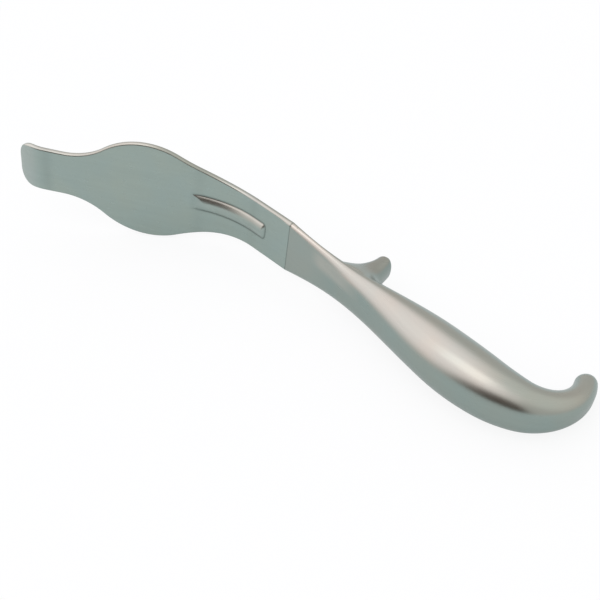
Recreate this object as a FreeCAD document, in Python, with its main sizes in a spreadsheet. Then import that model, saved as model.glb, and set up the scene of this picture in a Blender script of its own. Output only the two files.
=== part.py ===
import FreeCAD, Part
import math
import os
import Sketcher

# Handheld bone retractor: a leaf blade bent from sheet steel, welded to a hollow grip of two drawn shells.
# Before it is laid down, X runs from the blade's tip to the curl of the grip, the joint is at the origin,
# Z is the width, the mid plane is Z = 0, and the side that the surgeon sees faces -Y.
# Lengths are in millimetres and angles in degrees.

Vector = FreeCAD.Vector

SIZES = [
    # blade, from the joint to the tip
    ("neck_width", 23.0),
    ("neck_length", 18.7),
    ("neck_angle", 12.9),
    ("bend_radius", 47.3),
    ("bend_angle", 32.5),
    ("leaf_length", 65.2),
    ("hook_radius", 17.3),
    ("hook_angle", 40.7),
    ("tip_width", 19.8),
    ("tip_corner_radius", 5.4),
    ("blade_thickness", 2.3),
    ("edge_radius", 1.0),
    # outline of the leaf
    ("leaf_width", 44.0),
    ("leaf_widest_place", 21.5),
    ("leaf_crown_radius", 30.5),
    ("neck_flare_length", 46.0),
    ("tip_flare_length", 35.8),
    # rib pressed across the bend
    ("rib_width", 7.4),
    ("rib_height", 1.9),
    ("rib_gap", 13.0),
    ("rib_turn", 20.0),
    ("rib_run_out", 14.0),
    ("rib_end_radius", 0.8),
    ("rib_root", 0.2),
    ("groove_width", 4.6),
    ("groove_depth", 1.4),
    # joint
    ("swell_length", 6.0),
    ("tang_length", 20.0),
    ("tang_width", 14.0),
    ("tang_gap", 0.1),
    # grip: sections across its centre line, by distance from the joint, full width and full depth
    ("shell_wall", 1.0),
    ("mouth_depth", 2.9),
    ("throat_place", 14.0),
    ("throat_width", 19.2),
    ("throat_depth", 3.2),
    ("stem_place", 28.0),
    ("stem_width", 17.3),
    ("stem_depth", 6.0),
    ("waist_place", 45.0),
    ("waist_width", 18.4),
    ("waist_depth", 11.8),
    ("palm_place", 65.0),
    ("palm_width", 21.0),
    ("palm_depth", 19.2),
    ("belly_place", 84.0),
    ("belly_width", 23.0),
    ("belly_depth", 21.4),
    ("heel_place", 104.0),
    ("heel_width", 20.6),
    ("heel_depth", 17.4),
    ("curl_place", 124.0),
    ("curl_width", 13.9),
    ("curl_depth", 11.0),
    ("knob_place", 142.0),
    ("knob_width", 10.2),
    ("knob_depth", 8.6),
    ("knob_dome", 4.7),
    ("section_spacing", 7.0),
    # grip: centre line, as lengths and the angle turned over each, after a straight start
    ("stem_run", 36.0),
    ("palm_run", 40.0),
    ("palm_turn", 5.6),
    ("belly_run", 20.0),
    ("belly_turn", -7.0),
    ("heel_run", 12.0),
    ("heel_turn", -14.0),
    ("curl_run", 40.0),
    ("curl_turn", -128.0),
    # finger lug
    ("lug_height", 17.5),
    ("lug_width", 9.6),
    ("lug_rear_place", 39.9),
    ("lug_tip_thickness", 5.4),
    ("lug_ramp_reach", 17.5),
    ("lug_rear_flare", 6.0),
]

GRIP_SECTIONS = ["throat", "stem", "waist", "palm", "belly", "heel", "curl", "knob"]
DOME_SHARES = [0.45, 0.75, 0.92, 0.99]
LUG_LEVELS = [-0.12, 0.08, 0.25, 0.42, 0.58, 0.72, 0.82, 0.9, 0.96, 0.99]
LUG_ROUND_SHARE = 0.3
REST_FINENESS = 0.02
LEAST_FLAT = 1.0
FLAT_BLEND = 1.2
FLAT_INSET = 0.15
LUG_FLAT_SHARE = 0.2


def makeSheet(doc):
    table = doc.addObject("Spreadsheet::Sheet", "sizes")
    for row, (name, value) in enumerate(SIZES, start=1):
        table.set("A%d" % row, name)
        table.set("B%d" % row, repr(value))
        table.setAlias("B%d" % row, name)
    doc.recompute()
    return table


doc = FreeCAD.newDocument("retractor")
sheet = makeSheet(doc)


def size(name):
    return float(sheet.get(name))


def direction(degrees):
    return Vector(math.cos(math.radians(degrees)), math.sin(math.radians(degrees)), 0)


def leftOf(vector):
    return Vector(-vector.y, vector.x, 0)


# planes and sketches

def addSketch(body, name, role, offset=None):
    sketch = body.newObject("Sketcher::SketchObject", name)
    support = [feature for feature in body.Origin.OriginFeatures if feature.Role == role][0]
    sketch.AttachmentSupport = [(support, "")]
    sketch.MapMode = "FlatFace"
    if offset is not None:
        sketch.AttachmentOffset = offset
    return sketch


def crossPlane(point, degrees):
    """Offset that stands the YZ plane across a line of that direction, at a point of the mid plane."""
    # the YZ plane's own axes are the body's Y, Z and X
    return FreeCAD.Placement(Vector(point.y, 0, point.x), FreeCAD.Rotation(Vector(0, 1, 0), degrees))


def bind(sketch, constraint, name, expression):
    index = sketch.addConstraint(constraint)
    sketch.renameConstraint(index, name)
    sketch.setExpression("Constraints." + name, expression)


def join(sketch, first, firstEnd, second, secondEnd, kind="Coincident"):
    sketch.addConstraint(Sketcher.Constraint(kind, first, firstEnd, second, secondEnd))


def addRectangle(sketch, width, height, widthSize, heightSize):
    """A rectangle about the sketch's origin, width along its first axis."""
    corners = [Vector(x * width / 2, y * height / 2, 0) for x, y in ((-1, -1), (1, -1), (1, 1), (-1, 1))]
    sides = [sketch.addGeometry(Part.LineSegment(corners[k], corners[(k + 1) % 4])) for k in range(4)]
    for k in range(4):
        join(sketch, sides[k], 2, sides[(k + 1) % 4], 1)
    for k in (0, 2):
        sketch.addConstraint(Sketcher.Constraint("Horizontal", sides[k]))
    for k in (1, 3):
        sketch.addConstraint(Sketcher.Constraint("Vertical", sides[k]))
    sketch.addConstraint(Sketcher.Constraint("Symmetric", sides[0], 1, sides[2], 1, -1, 1))
    bind(sketch, Sketcher.Constraint("Distance", sides[0], width), "wide", widthSize)
    bind(sketch, Sketcher.Constraint("Distance", sides[1], height), "high", heightSize)


def arcFrom(centre, start, degrees):
    """Counter-clockwise arc about centre from start, through degrees, as a sketch holds it."""
    spoke = start - centre
    first = math.atan2(spoke.y, spoke.x)
    circle = Part.Circle(centre, Vector(0, 0, 1), spoke.Length)
    return Part.ArcOfCircle(circle, first, first + math.radians(degrees))


# blade

def bladeStations():
    """Corners of the blade's centre line in the mid plane, with the direction of travel to the tip at each."""
    heading = 180 - size("neck_angle")
    joint = Vector(0, 0, 0)
    bendStart = joint + direction(heading) * size("neck_length")
    bendCentre = bendStart + leftOf(direction(heading)) * size("bend_radius")
    leafHeading = heading + size("bend_angle")
    bendEnd = bendCentre - leftOf(direction(leafHeading)) * size("bend_radius")
    hookStart = bendEnd + direction(leafHeading) * size("leaf_length")
    hookCentre = hookStart - leftOf(direction(leafHeading)) * size("hook_radius")
    tipHeading = leafHeading - size("hook_angle")
    tip = hookCentre + leftOf(direction(tipHeading)) * size("hook_radius")
    return {"joint": joint, "bendStart": bendStart, "bendCentre": bendCentre, "bendEnd": bendEnd,
            "hookStart": hookStart, "hookCentre": hookCentre, "tip": tip,
            "heading": heading, "leafHeading": leafHeading, "tipHeading": tipHeading}


def addBladePath(body, at):
    path = addSketch(body, "blade_path", "XY_Plane")
    start = at["joint"] + direction(at["heading"]) * size("swell_length")
    neck = path.addGeometry(Part.LineSegment(start, at["bendStart"]))
    bend = path.addGeometry(arcFrom(at["bendCentre"], at["bendStart"], size("bend_angle")))
    leaf = path.addGeometry(Part.LineSegment(at["bendEnd"], at["hookStart"]))
    hook = path.addGeometry(arcFrom(at["hookCentre"], at["tip"], size("hook_angle")))
    path.addConstraint(Sketcher.Constraint("PointOnObject", -1, 1, neck))
    join(path, neck, 2, bend, 1, "Tangent")
    join(path, bend, 2, leaf, 1, "Tangent")
    join(path, leaf, 2, hook, 2, "Tangent")
    bind(path, Sketcher.Constraint("Angle", neck, math.radians(at["heading"])), "neck_heading", "180 - sizes.neck_angle")
    bind(path, Sketcher.Constraint("Distance", neck, size("neck_length") - size("swell_length")), "neck",
         "sizes.neck_length - sizes.swell_length")
    bind(path, Sketcher.Constraint("Distance", -1, 1, neck, 1, size("swell_length")), "swell",
         "sizes.swell_length")
    bind(path, Sketcher.Constraint("Radius", bend, size("bend_radius")), "bend", "sizes.bend_radius")
    bind(path, Sketcher.Constraint("Angle", bend, math.radians(size("bend_angle"))), "bend_turn", "sizes.bend_angle")
    bind(path, Sketcher.Constraint("Distance", leaf, size("leaf_length")), "leaf", "sizes.leaf_length")
    bind(path, Sketcher.Constraint("Radius", hook, size("hook_radius")), "hook", "sizes.hook_radius")
    bind(path, Sketcher.Constraint("Angle", hook, math.radians(size("hook_angle"))), "hook_turn", "sizes.hook_angle")
    return path




# sketch curves that a body's outline is made of

def arcBetween(centre, first, second):
    """Shorter arc about centre between two points, counter-clockwise as a sketch holds it."""
    spokes = first - centre, second - centre
    if spokes[0].cross(spokes[1]).z < 0:
        spokes = spokes[1], spokes[0]
    start = math.atan2(spokes[0].y, spokes[0].x)
    circle = Part.Circle(centre, Vector(0, 0, 1), spokes[0].Length)
    return Part.ArcOfCircle(circle, start, start + spokes[0].getAngle(spokes[1]))


def capArc(centre, outward, reach, half):
    """Half an ellipse that bulges outward by reach between two ends that lie half to each side."""
    across = leftOf(outward)
    if abs(reach - half) < 1e-6:
        start = math.atan2(-across.y, -across.x)
        return Part.ArcOfCircle(Part.Circle(centre, Vector(0, 0, 1), half), start, start + math.pi)
    if reach > half:
        ellipse = Part.Ellipse(centre + outward * reach, centre + across * half, centre)
        return Part.ArcOfEllipse(ellipse, -math.pi / 2, math.pi / 2)
    ellipse = Part.Ellipse(centre - across * half, centre + outward * reach, centre)
    return Part.ArcOfEllipse(ellipse, 0, math.pi)


def addOval(sketch, centre, along, long, short, flat):
    """Oval of half-length long and half-width short, with straight sides of half-length flat."""
    side = leftOf(along) * short
    ends = centre + along * flat, centre - along * flat
    first = sketch.addGeometry(capArc(ends[0], along, long - flat, short))
    upper = sketch.addGeometry(Part.LineSegment(ends[0] + side, ends[1] + side))
    second = sketch.addGeometry(capArc(ends[1], -along, long - flat, short))
    lower = sketch.addGeometry(Part.LineSegment(ends[1] - side, ends[0] - side))
    for one, other in ((first, upper), (upper, second), (second, lower), (lower, first)):
        join(sketch, one, 2, other, 1)


# outline of the leaf

def flip(point):
    return Vector(point.x, -point.y, 0)


def flareRadii(length, rise):
    """Sum of the two radii of an S-curve of that length and rise."""
    return (length ** 2 + rise ** 2) / (2 * rise)


def addLeafOutline(body, at):
    """Ring that trims the bent strip, drawn in the plane of the leaf from where the bend ends."""
    tilt = at["leafHeading"] - 180
    corner = Vector(at["bendEnd"].x, 0, -at["bendEnd"].y)
    turned = FreeCAD.Placement(corner, FreeCAD.Rotation(Vector(0, 1, 0), tilt))
    ring = addSketch(body, "leaf_outline", "XZ_Plane", turned)
    crown = size("leaf_crown_radius")
    half = size("leaf_width") / 2
    neckHalf = size("neck_width") / 2
    tipHalf = size("tip_width") / 2
    crownCentre = Vector(-size("leaf_widest_place"), half - crown, 0)
    neckEnd = crownCentre.x + size("neck_flare_length")
    tipEnd = crownCentre.x - size("tip_flare_length")
    neckFlare = flareRadii(size("neck_flare_length"), half - neckHalf) - crown
    tipFlare = flareRadii(size("tip_flare_length"), half - tipHalf) - crown
    neckCentre = Vector(neckEnd, neckHalf + neckFlare, 0)
    tipCentre = Vector(tipEnd, tipHalf + tipFlare, 0)
    neckMeet = crownCentre + (neckCentre - crownCentre) * (crown / (crown + neckFlare))
    tipMeet = crownCentre + (tipCentre - crownCentre) * (crown / (crown + tipFlare))
    right = size("neck_length") + size("bend_radius")
    left = -(size("leaf_length") + size("hook_radius") + size("tip_width"))
    halves = []
    for side in (Vector, flip):
        halves.append([
            ring.addGeometry(Part.LineSegment(side(Vector(right, neckHalf, 0)), side(Vector(neckEnd, neckHalf, 0)))),
            ring.addGeometry(arcBetween(side(neckCentre), side(Vector(neckEnd, neckHalf, 0)), side(neckMeet))),
            ring.addGeometry(arcBetween(side(crownCentre), side(neckMeet), side(tipMeet))),
            ring.addGeometry(arcBetween(side(tipCentre), side(tipMeet), side(Vector(tipEnd, tipHalf, 0)))),
            ring.addGeometry(Part.LineSegment(side(Vector(tipEnd, tipHalf, 0)), side(Vector(left, tipHalf, 0)))),
        ])
    upper, lower = halves
    neckSide = ring.addGeometry(Part.LineSegment(Vector(right, neckHalf, 0), Vector(right, -neckHalf, 0)))
    tipSide = ring.addGeometry(Part.LineSegment(Vector(left, tipHalf, 0), Vector(left, -tipHalf, 0)))
    # arcs run counter-clockwise, so their ends 1 and 2 change places in the lower half
    for edges, ends in ((upper, ((2, 2), (1, 1), (2, 2), (1, 1))), (lower, ((2, 1), (2, 2), (1, 1), (2, 1)))):
        for k, (first, second) in enumerate(ends):
            join(ring, edges[k], first, edges[k + 1], second, "Tangent")
        ring.addConstraint(Sketcher.Constraint("Horizontal", edges[0]))
        ring.addConstraint(Sketcher.Constraint("Horizontal", edges[4]))
    join(ring, neckSide, 1, upper[0], 1)
    join(ring, neckSide, 2, lower[0], 1)
    join(ring, tipSide, 1, upper[4], 2)
    join(ring, tipSide, 2, lower[4], 2)
    ring.addConstraint(Sketcher.Constraint("Symmetric", upper[0], 1, lower[0], 1, -1))
    ring.addConstraint(Sketcher.Constraint("Symmetric", upper[4], 2, lower[4], 2, -1))
    ring.addConstraint(Sketcher.Constraint("Symmetric", upper[2], 3, lower[2], 3, -1))
    ring.addConstraint(Sketcher.Constraint("Equal", upper[2], lower[2]))
    ring.addConstraint(Sketcher.Constraint("Vertical", upper[1], 3, lower[1], 3))
    ring.addConstraint(Sketcher.Constraint("Vertical", upper[3], 3, lower[3], 3))
    bind(ring, Sketcher.Constraint("Distance", neckSide, 2 * neckHalf), "neck", "sizes.neck_width")
    bind(ring, Sketcher.Constraint("Distance", tipSide, 2 * tipHalf), "tip", "sizes.tip_width")
    bind(ring, Sketcher.Constraint("Radius", upper[2], crown), "crown", "sizes.leaf_crown_radius")
    bind(ring, Sketcher.Constraint("DistanceY", upper[2], 3, -1, 1, crown - half), "crown_centre",
         "sizes.leaf_crown_radius - sizes.leaf_width / 2")
    bind(ring, Sketcher.Constraint("DistanceX", upper[2], 3, -1, 1, -crownCentre.x), "widest",
         "sizes.leaf_widest_place")
    bind(ring, Sketcher.Constraint("DistanceX", upper[2], 3, upper[1], 3, size("neck_flare_length")),
         "neck_flare", "sizes.neck_flare_length")
    bind(ring, Sketcher.Constraint("DistanceX", upper[3], 3, upper[2], 3, size("tip_flare_length")),
         "tip_flare", "sizes.tip_flare_length")
    bind(ring, Sketcher.Constraint("DistanceX", upper[0], 1, right), "beyond_joint",
         "sizes.neck_length + sizes.bend_radius")
    bind(ring, Sketcher.Constraint("DistanceX", upper[4], 2, -1, 1, -left), "beyond_tip",
         "sizes.leaf_length + sizes.hook_radius + sizes.tip_width")
    addRectangle(ring, 3 * (right - left), 3 * size("leaf_width"),
                 "3 * (sizes.neck_length + sizes.bend_radius + sizes.leaf_length + sizes.hook_radius"
                 " + sizes.tip_width)", "3 * sizes.leaf_width")
    return ring


def roundEdges(body, name, base, radiusSize, chosen):
    """Fillet the edges of base that chosen says yes to."""
    names = ["Edge%d" % number for number, edge in enumerate(base.Shape.Edges, start=1) if chosen(edge)]
    fillet = body.newObject("PartDesign::Fillet", name)
    fillet.Base = (base, names)
    fillet.Radius = size(radiusSize)
    fillet.setExpression("Radius", "sizes." + radiusSize)
    doc.recompute()
    return fillet


def isAcrossSheet(edge):
    """A straight edge that goes through the thickness of the sheet."""
    return isinstance(edge.Curve, Part.Line) and abs(edge.Length - size("blade_thickness")) < 1e-4


def isAlongWidth(edge):
    return isinstance(edge.Curve, Part.Line) and abs(edge.Curve.Direction.z) > 0.999


def isAtTip(edge, at):
    centre = edge.CenterOfMass
    return (Vector(centre.x, centre.y, 0) - at["tip"]).Length < size("blade_thickness")


def ribLine(sketch, at, radius):
    """Path beside the neck and round the bend at that radius, which then leaves the bend straight."""
    across = direction(at["heading"] + 90) * (size("bend_radius") - radius)
    start = at["joint"] + direction(at["heading"]) * size("rib_gap") + across
    bendStart = at["bendStart"] + across
    neck = sketch.addGeometry(Part.LineSegment(start, bendStart))
    arc = arcFrom(at["bendCentre"], bendStart, size("rib_turn"))
    bend = sketch.addGeometry(arc)
    leaving = direction(at["heading"] + size("rib_turn")) * size("rib_run_out")
    straight = sketch.addGeometry(Part.LineSegment(arc.EndPoint, arc.EndPoint + leaving))
    join(sketch, neck, 2, bend, 1, "Tangent")
    join(sketch, bend, 2, straight, 1, "Tangent")
    bind(sketch, Sketcher.Constraint("Distance", neck, (bendStart - start).Length), "neck",
         "sizes.neck_length - sizes.rib_gap")
    bind(sketch, Sketcher.Constraint("Distance", straight, size("rib_run_out")), "run_out", "sizes.rib_run_out")
    return start


def sweep(body, kind, name, section, path):
    pipe = body.newObject("PartDesign::" + kind, name)
    pipe.Profile = section
    pipe.Spine = (path, [])
    doc.recompute()
    return pipe


def addHump(sketch, width, height, sink):
    """Half an oval that rises towards the front, on a strip that reaches into the sheet."""
    half = width / 2
    dome = sketch.addGeometry(capArc(Vector(), Vector(-1, 0, 0), height, half))
    corners = [Vector(0, -half, 0), Vector(sink, -half, 0), Vector(sink, half, 0), Vector(0, half, 0)]
    sides = [sketch.addGeometry(Part.LineSegment(corners[k], corners[k + 1])) for k in range(3)]
    # the dome runs counter-clockwise, from the upper side of the width to the lower one
    join(sketch, dome, 2, sides[0], 1)
    join(sketch, sides[0], 2, sides[1], 1)
    join(sketch, sides[1], 2, sides[2], 1)
    join(sketch, sides[2], 2, dome, 1)


def addRib(body, at):
    """The rib on the front, that sinks into the leaf, and the groove that pressing it leaves behind."""
    path = addSketch(body, "rib_path", "XY_Plane")
    start = ribLine(path, at, size("bend_radius") - size("blade_thickness") / 2)
    section = addSketch(body, "rib_section", "YZ_Plane", crossPlane(start, -size("neck_angle")))
    addHump(section, size("rib_width"), size("rib_height"), size("rib_root"))
    rib = sweep(body, "AdditivePipe", "rib", section, path)
    blunt = roundEdges(body, "rib_end", rib, "rib_end_radius", lambda edge: isRibEnd(edge, start))
    path = addSketch(body, "groove_path", "XY_Plane")
    start = ribLine(path, at, size("bend_radius") + size("blade_thickness") / 2)
    section = addSketch(body, "groove_section", "YZ_Plane", crossPlane(start, -size("neck_angle")))
    addHump(section, size("groove_width"), size("groove_depth"), size("groove_depth"))
    groove = sweep(body, "SubtractivePipe", "groove", section, path)
    return groove


def isRibEnd(edge, start):
    """The curved edge of the rib's blunt end."""
    if isinstance(edge.Curve, Part.Line):
        return False
    along = direction(-size("neck_angle"))
    return all(abs((vertex.Point - start).dot(along)) < 1e-4 for vertex in edge.Vertexes)


def addTang(body, at):
    """Tongue of the blade that lies between the two shells."""
    section = addSketch(body, "tang_section", "YZ_Plane", crossPlane(at["joint"], -size("neck_angle")))
    thickness = size("mouth_depth") - 2 * size("shell_wall") - 2 * size("tang_gap")
    addRectangle(section, thickness, size("tang_width"),
                 "sizes.mouth_depth - 2 * sizes.shell_wall - 2 * sizes.tang_gap", "sizes.tang_width")
    tang = body.newObject("PartDesign::Pad", "tang")
    tang.Profile = section
    tang.setExpression("Length", "sizes.tang_length")
    doc.recompute()
    return tang


def addBlade():
    at = bladeStations()
    body = doc.addObject("PartDesign::Body", "blade")
    path = addBladePath(body, at)
    start = at["joint"] + direction(at["heading"]) * size("swell_length")
    section = addSketch(body, "blade_section", "YZ_Plane", crossPlane(start, -size("neck_angle")))
    addRectangle(section, size("blade_thickness"), size("leaf_width"), "sizes.blade_thickness", "sizes.leaf_width")
    sheet = sweep(body, "AdditivePipe", "bent_sheet", section, path)
    outline = body.newObject("PartDesign::Pocket", "outline_cut")
    outline.Profile = addLeafOutline(body, at)
    outline.SideType = "Symmetric"
    outline.Type = "ThroughAll"
    doc.recompute()
    corners = roundEdges(body, "tip_corners", outline, "tip_corner_radius",
                         lambda edge: isAcrossSheet(edge) and isAtTip(edge, at))
    rim = roundEdges(body, "rim", corners, "edge_radius",
                     lambda edge: not isAcrossSheet(edge) and (not isAlongWidth(edge) or isAtTip(edge, at)))
    swell = body.newObject("PartDesign::AdditiveLoft", "swell")
    sections = []
    for name, place, depth in (("swell_start", start, "blade_thickness"), ("swell_end", at["joint"], "mouth_depth")):
        oval = addSketch(body, name, "YZ_Plane", crossPlane(place, -size("neck_angle")))
        addGripOval(oval, size("neck_width") / 2, size(depth) / 2, 1)
        sections.append(oval)
    swell.Profile = sections[0]
    swell.Sections = sections[1:]
    doc.recompute()
    addRib(body, at)
    addTang(body, at)
    return body


# grip

def addGripOval(sketch, half, rise, share):
    """Section across the grip: half its width, half its depth, and a share that shrinks it to the dome."""
    spare = half - rise
    flat = max(LEAST_FLAT, (spare + math.sqrt(spare ** 2 + FLAT_BLEND ** 2)) / 2 - FLAT_INSET)
    addOval(sketch, Vector(), Vector(0, 1, 0), half * share, rise * share, flat * share)


def gripPoint(distance):
    """Point of the grip's centre line that far from the joint, and its direction there in degrees."""
    point = Vector(0, 0, 0)
    heading = -size("neck_angle")
    runs = [(size("stem_run"), 0.0)]
    for name in ("palm", "belly", "heel", "curl"):
        runs.append((size(name + "_run"), -size(name + "_turn")))
    left = distance
    for number, (length, turn) in enumerate(runs):
        step = left if number == len(runs) - 1 else min(left, length)
        if turn == 0:
            point = point + direction(heading) * step
        else:
            radius = length / math.radians(turn)
            centre = point + leftOf(direction(heading)) * radius
            heading += turn * step / length
            point = centre - leftOf(direction(heading)) * radius
        left -= step
        if left <= 0:
            break
    return point, heading


def smoothValue(places, values, place):
    """Value at a place, on a smooth curve through the given ones that doesn't overshoot them."""
    slopes = [(values[k + 1] - values[k]) / (places[k + 1] - places[k]) for k in range(len(places) - 1)]
    tangents = [slopes[0]]
    for before, after in zip(slopes, slopes[1:]):
        tangents.append(0 if before * after <= 0 else 2 * before * after / (before + after))
    tangents.append(slopes[-1])
    k = max(index for index in range(len(places) - 1) if places[index] <= place)
    span = places[k + 1] - places[k]
    t = (place - places[k]) / span
    return ((2 * t ** 3 - 3 * t ** 2 + 1) * values[k] + (t ** 3 - 2 * t ** 2 + t) * span * tangents[k]
            + (3 * t ** 2 - 2 * t ** 3) * values[k + 1] + (t ** 3 - t ** 2) * span * tangents[k + 1])


def gripSections():
    """Places along the grip with half the width and half the depth there, close together in the curl."""
    places = [0.0] + [size(name + "_place") for name in GRIP_SECTIONS]
    widths = [size("neck_width")] + [size(name + "_width") for name in GRIP_SECTIONS]
    depths = [size("mouth_depth")] + [size(name + "_depth") for name in GRIP_SECTIONS]
    stations = []
    for first, last in zip(places, places[1:]):
        steps = max(1, math.ceil((last - first) / size("section_spacing")))
        stations += [first + (last - first) * k / steps for k in range(steps)]
    stations.append(places[-1])
    return [(place, smoothValue(places, widths, place) / 2, smoothValue(places, depths, place) / 2)
            for place in stations]


def addGripLoft(body, kind, name, inset):
    """Loft along the grip, smaller all round by inset, to a domed end."""
    sections = [(place, half - inset, rise - inset, 1) for place, half, rise in gripSections()]
    if inset:
        # a cut starts in front of the mouth, so that it opens it
        sections.insert(0, (-2 * inset, sections[0][1], sections[0][2], 1))
    place, half, rise, share = sections[-1]
    dome = size("knob_dome") - inset
    sections += [(place + dome * part, half, rise, math.sqrt(1 - part ** 2)) for part in DOME_SHARES]
    sketches = []
    for number, (place, half, rise, share) in enumerate(sections):
        point, heading = gripPoint(max(place, 0))
        if place < 0:
            point = direction(heading) * place
        sketch = addSketch(body, "%s_%d" % (name, number), "YZ_Plane", crossPlane(point, heading))
        addGripOval(sketch, half, rise, share)
        sketches.append(sketch)
    loft = body.newObject("PartDesign::" + kind, name)
    loft.Profile = sketches[0]
    loft.Sections = sketches[1:]
    doc.recompute()
    return loft


def addLug(body):
    """Fin for the finger on the back of the grip: a slanted ramp in front and a steep rear."""
    height = size("lug_height")
    root = backLine(size("lug_rear_place"))
    sketches = []
    for number, level in enumerate(LUG_LEVELS):
        left = min(1, 1 - level)
        ramp = size("lug_rear_place") - size("lug_tip_thickness") - size("lug_ramp_reach") * left ** 1.7
        rear = size("lug_rear_place") + size("lug_rear_flare") * left ** 8
        end = max(0, 1 - (1 - level) / LUG_ROUND_SHARE)
        narrowing = math.sqrt(1 - end ** 2)
        half = size("lug_width") / 2 * (1 + 0.5 * left ** 3) * narrowing
        length = (rear - ramp) / 2 * narrowing
        sketch = addSketch(body, "lug_%d" % number, "XZ_Plane",
                           FreeCAD.Placement(Vector(0, 0, -(root + level * height)), FreeCAD.Rotation()))
        addOval(sketch, Vector((ramp + rear) / 2, 0, 0), Vector(1, 0, 0), length, half, LUG_FLAT_SHARE * length)
        sketches.append(sketch)
    lug = body.newObject("PartDesign::AdditiveLoft", "lug")
    lug.Profile = sketches[0]
    lug.Sections = sketches[1:]
    doc.recompute()
    return lug


def backLine(place):
    """Height of the grip's back over the joint, on Y, where its centre line has come that far."""
    point, heading = gripPoint(place)
    places = [0.0] + [size(name + "_place") for name in GRIP_SECTIONS]
    depths = [size("mouth_depth")] + [size(name + "_depth") for name in GRIP_SECTIONS]
    return point.y + smoothValue(places, depths, place) / 2 / math.cos(math.radians(heading))


def addShell(name, upward):
    """One of the two drawn shells: the whole grip, hollowed, less what lies past the mid plane."""
    body = doc.addObject("PartDesign::Body", name)
    addGripLoft(body, "AdditiveLoft", "grip", 0)
    addLug(body)
    whole = body.Shape.Volume
    addGripLoft(body, "SubtractiveLoft", "hollow", size("shell_wall"))
    hollowed = body.Shape.Volume
    block = addSketch(body, "other_half", "XY_Plane")
    reach = size("knob_place") + size("leaf_width")
    addRectangle(block, 2 * reach, 2 * reach, "2 * (sizes.knob_place + sizes.leaf_width)",
                 "2 * (sizes.knob_place + sizes.leaf_width)")
    half = body.newObject("PartDesign::Pocket", "split")
    half.Profile = block
    half.Type = "ThroughAll"
    half.Reversed = not upward
    doc.recompute()
    print(name, "whole", round(whole, 1), "hollowed", round(hollowed, 1), "half", round(body.Shape.Volume, 1))
    if not whole > hollowed > 1.9 * body.Shape.Volume > 0:
        raise RuntimeError(name + " wasn't hollowed or halved")
    return body


# rest on a level surface, on the lowest places of the leaf, the belly and the curl

def lowestPlane(shapes):
    points = []
    for shape in shapes:
        points += [point for point in shape.tessellate(REST_FINENESS)[0] if point.z < 0]
    belly = size("palm_place"), (size("belly_place") + size("heel_place")) / 2 + 6
    zones = [[point for point in points if point.x < -size("neck_length")],
             [point for point in points if belly[0] * 0.9 < point.x < belly[1]],
             [point for point in points if point.x > belly[1] + 8]]
    upward = Vector(0, 0, 1)
    for turn in range(20):
        feet = [min(zone, key=upward.dot) for zone in zones]
        normal = (feet[1] - feet[0]).cross(feet[2] - feet[0])
        normal = normal * (math.copysign(1, normal.z) / normal.Length)
        if (normal - upward).Length < 1e-9:
            break
        upward = normal
    print("feet", [tuple(round(value, 1) for value in foot) for foot in feet], "up", upward)
    return upward


blade = addBlade()
upper = addShell("handle_shell_upper", True)
lower = addShell("handle_shell_lower", False)
parts = [blade, upper, lower]
turn = FreeCAD.Rotation(lowestPlane([part.Shape for part in parts]), Vector(0, 0, 1))
points = []
for part in parts:
    points += [turn.multVec(point) for point in part.Shape.tessellate(REST_FINENESS)[0]]
lows = [min(point[axis] for point in points) for axis in range(3)]
highs = [max(point[axis] for point in points) for axis in range(3)]
shift = Vector(-(lows[0] + highs[0]) / 2, -(lows[1] + highs[1]) / 2, -lows[2])
for part in parts:
    part.Placement = FreeCAD.Placement(shift, turn)
doc.recompute()
print("shift", shift, "turn", turn.Q, "overall", [round(high - low, 2) for low, high in zip(lows, highs)])

for item in doc.Objects:
    if "Invalid" in item.State or "Error" in item.State:
        raise RuntimeError(item.Label + " failed: " + ", ".join(item.State))
os.makedirs("parts", exist_ok=True)
for part in parts:
    if part.Shape.isNull() or not part.Shape.isValid() or len(part.Shape.Solids) != 1:
        raise RuntimeError(part.Label + " isn't one valid solid")
for part in parts:
    part.Shape.exportStep("parts/%s.step" % part.Label)
    box = part.Shape.BoundBox
    print("%s: %.0f mm3, %d faces, X %.1f to %.1f, Y %.1f to %.1f, Z %.1f to %.1f" % (
        part.Label, part.Shape.Volume, len(part.Shape.Faces), box.XMin, box.XMax, box.YMin, box.YMax, box.ZMin, box.ZMax))
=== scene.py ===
import math

import bmesh
import bpy
import numpy as np
from mathutils import Matrix, Quaternion, Vector
from mathutils.kdtree import KDTree


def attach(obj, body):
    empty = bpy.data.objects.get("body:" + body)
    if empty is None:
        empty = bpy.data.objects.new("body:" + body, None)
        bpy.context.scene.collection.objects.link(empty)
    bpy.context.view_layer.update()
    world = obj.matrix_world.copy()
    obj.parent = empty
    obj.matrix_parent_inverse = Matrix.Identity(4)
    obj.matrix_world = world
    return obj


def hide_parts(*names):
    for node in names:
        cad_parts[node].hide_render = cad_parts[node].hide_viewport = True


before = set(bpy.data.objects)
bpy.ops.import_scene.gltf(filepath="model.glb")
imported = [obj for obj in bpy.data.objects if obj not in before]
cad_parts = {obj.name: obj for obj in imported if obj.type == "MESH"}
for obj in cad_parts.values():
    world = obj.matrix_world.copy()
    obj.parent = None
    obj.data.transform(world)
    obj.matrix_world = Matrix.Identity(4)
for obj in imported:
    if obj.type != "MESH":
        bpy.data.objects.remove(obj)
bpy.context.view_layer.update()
print("frame loaded")

# Everything is drawn in millimetres with the joint of blade and grip at the origin, the blade towards -X,
# the grip towards +X, the width along Z and the viewed face towards -Y. Then it is laid on its side edge.
laid = {
    "turn": Quaternion((0.9962624, -0.0743368, 0.0439921, 0.0)),
    "shift": Vector((-4.1628, 10.5529, 15.5913)),
}
laidMatrix = (Matrix.Scale(0.001, 4) @ Matrix.Translation(laid["shift"])
              @ laid["turn"].to_matrix().to_4x4())

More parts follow.
